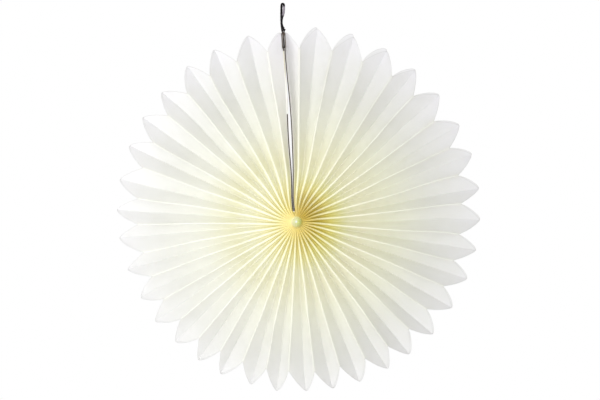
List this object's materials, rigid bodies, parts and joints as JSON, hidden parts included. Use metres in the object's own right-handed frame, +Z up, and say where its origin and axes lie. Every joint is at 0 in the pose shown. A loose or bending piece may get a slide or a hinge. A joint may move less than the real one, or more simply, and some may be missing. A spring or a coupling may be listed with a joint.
{
  "type": "paper fan rosette",
  "caption": "Round hanging decoration: a tissue strip folded in an accordion with leaf-cut petals, opened full circle to a seam between two end cards and hung by a thread loop.",
  "frame": {"origin": "the point inside the top of the thread loop that the fan hangs from", "axes": "+Z up, the front of the fan faces -Y, +X is to the right seen from the front"},
  "size_m": [0.4997, 0.0494, 0.5339],
  "materials": {
    "ivory_tissue": "matt, thin and slightly translucent",
    "grey_board": "matt grey-brown board",
    "black_thread": "twisted thread"
  },
  "bodies": {
    "root": {"tissue_pleats": "ivory_tissue", "right_end_card": "grey_board", "left_end_card": "grey_board", "hanging_thread": "black_thread", "thread_knot": "black_thread"}
  },
  "joints": []
}
